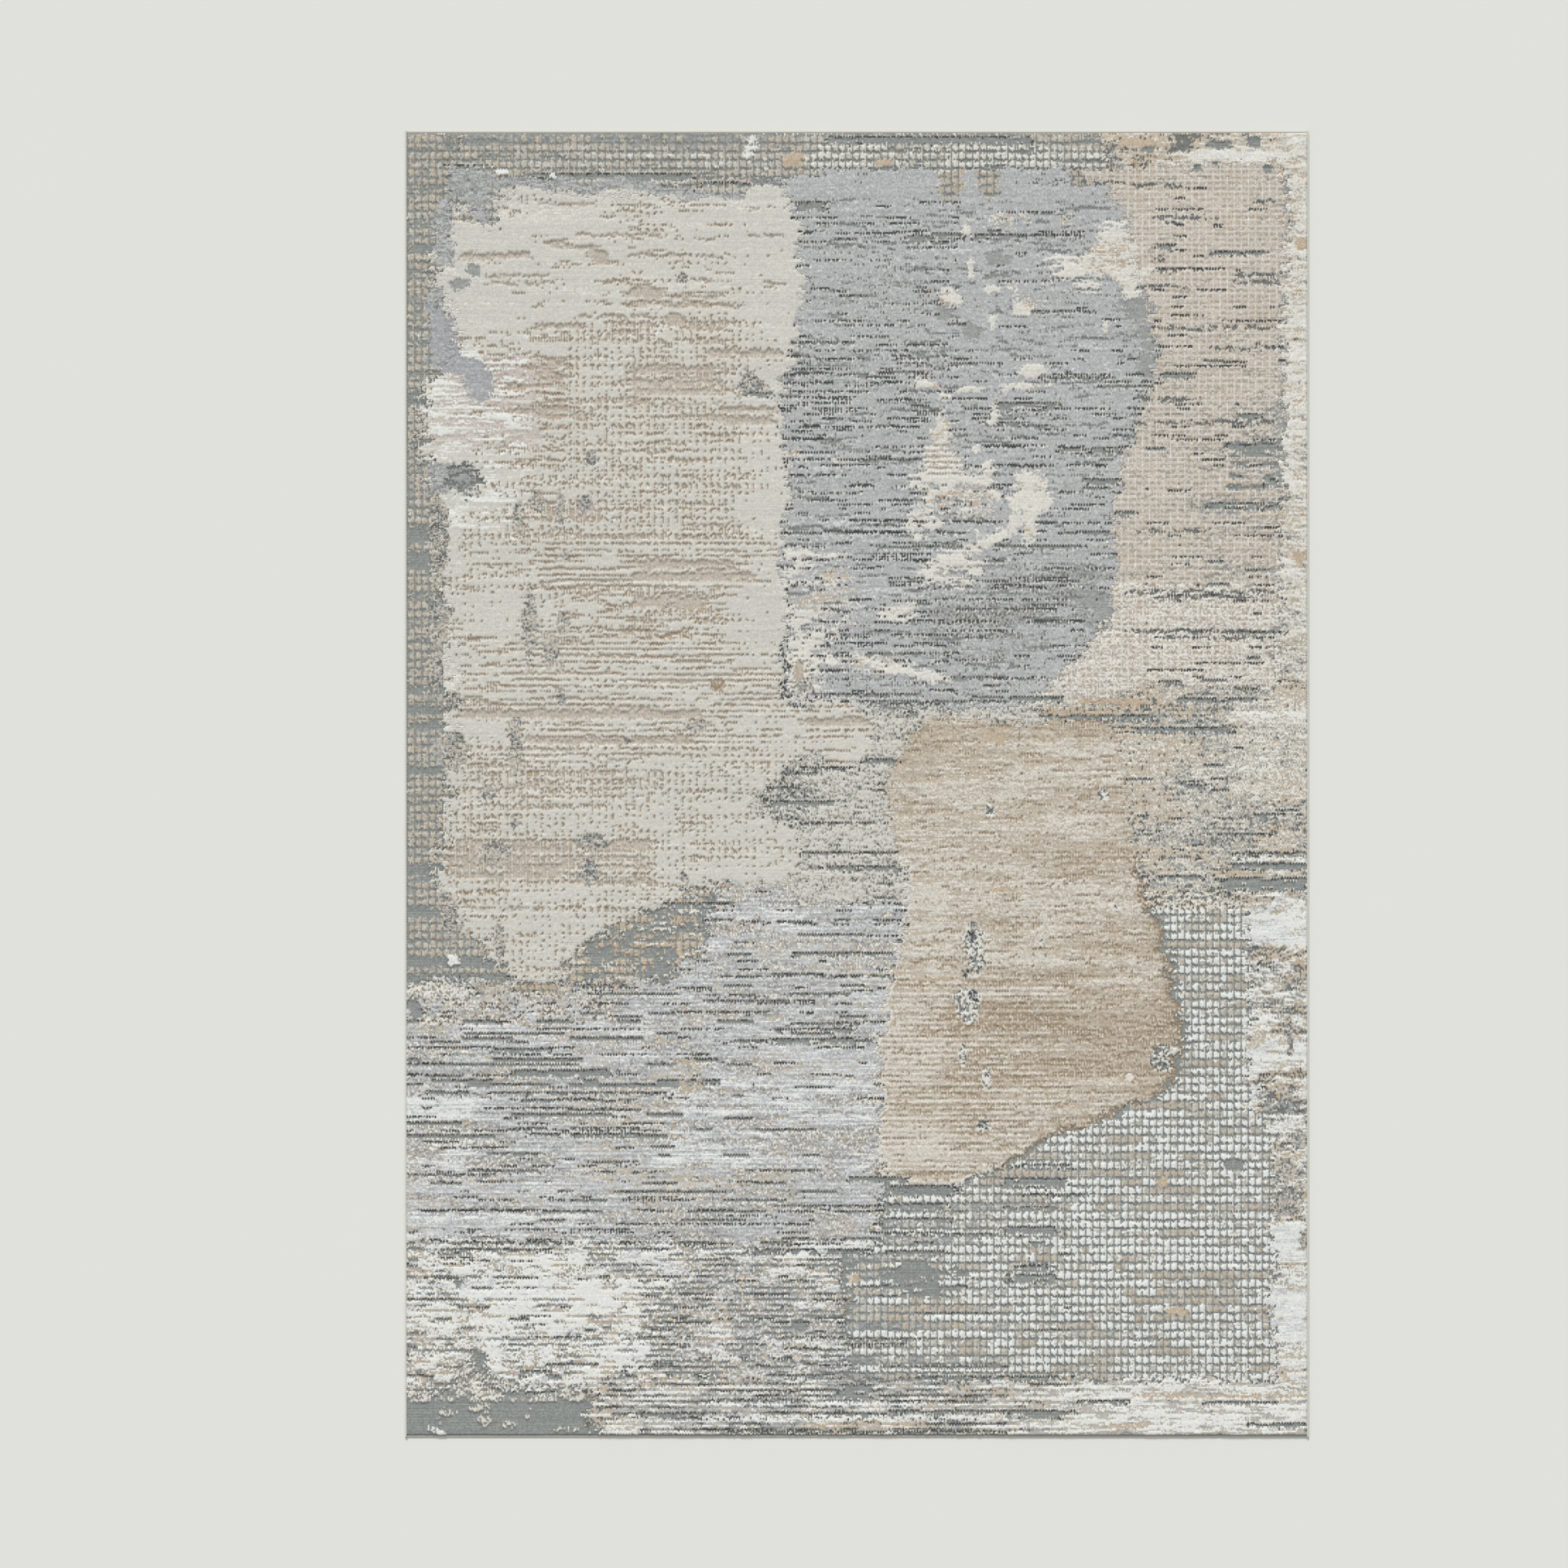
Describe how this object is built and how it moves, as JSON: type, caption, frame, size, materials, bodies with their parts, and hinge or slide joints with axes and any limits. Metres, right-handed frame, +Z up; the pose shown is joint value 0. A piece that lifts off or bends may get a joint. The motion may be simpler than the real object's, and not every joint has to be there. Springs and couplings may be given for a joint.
{
  "type": "area rug",
  "caption": "Rectangular area rug, machine woven, with an abstract pattern of raised and sunken pile in cream, blue-grey, slate and sand, serged sides and hemmed ends.",
  "frame": {"origin": "middle of the underside, on the floor the rug lies on", "axes": "+X across the width to the rug's right, +Y along the length to its head end, +Z up out of the pile"},
  "size_m": [1.6, 2.31, 0.0105],
  "materials": {
    "cream_yarn": "soft heat-set pile, cream over greige",
    "blue_grey_yarn": "soft heat-set pile, blue-grey over slate",
    "sand_yarn": "low dense pile, sand with cream ribs",
    "peach_yarn": "lattice of cream tufts over peach and sand",
    "stipple_yarn": "salt-and-pepper tufts of cream, taupe and slate",
    "slate_yarn": "flat slate ground with small sand and cream checks",
    "white_yarn": "long soft white pile with grey and sand dashes",
    "check_yarn": "white and cream checks over slate ribs",
    "light_blue_yarn": "light blue-grey pile with slate grooves",
    "latex": "matt thin latex size",
    "jute": "matt jute weft, ribbed",
    "warp_yarn": "matt cotton and polyester",
    "serging_yarn": "off-white yarn wound side by side",
    "hem_web": "off-white flat-woven web",
    "thread": "twisted sewing thread",
    "label_tape": "plain woven tape, blank"
  },
  "bodies": {
    "root": {"cream_pile": "cream_yarn", "blue_grey_pile": "blue_grey_yarn", "sand_pile": "sand_yarn", "peach_lattice_pile": "peach_yarn", "stipple_pile": "stipple_yarn", "speckle_pile": "slate_yarn", "head_check_pile": "slate_yarn", "left_check_pile": "slate_yarn", "right_cream_pile": "cream_yarn", "slate_wedge_pile": "slate_yarn", "slate_block_pile": "slate_yarn", "right_white_pile": "white_yarn", "foot_streak_pile": "white_yarn", "slate_check_pile": "check_yarn", "white_streak_pile": "white_yarn", "blue_stripe_pile": "light_blue_yarn", "latex_coat": "latex", "lower_weft": "jute", "stuffer_warp": "warp_yarn", "upper_weft": "jute", "left_selvedge_cord": "warp_yarn", "right_selvedge_cord": "warp_yarn", "left_serging": "serging_yarn", "right_serging": "serging_yarn", "head_hem": "hem_web", "foot_hem": "hem_web", "head_hem_stitching": "thread", "foot_hem_stitching": "thread", "care_label": "label_tape", "care_label_stitching": "thread"}
  },
  "joints": []
}
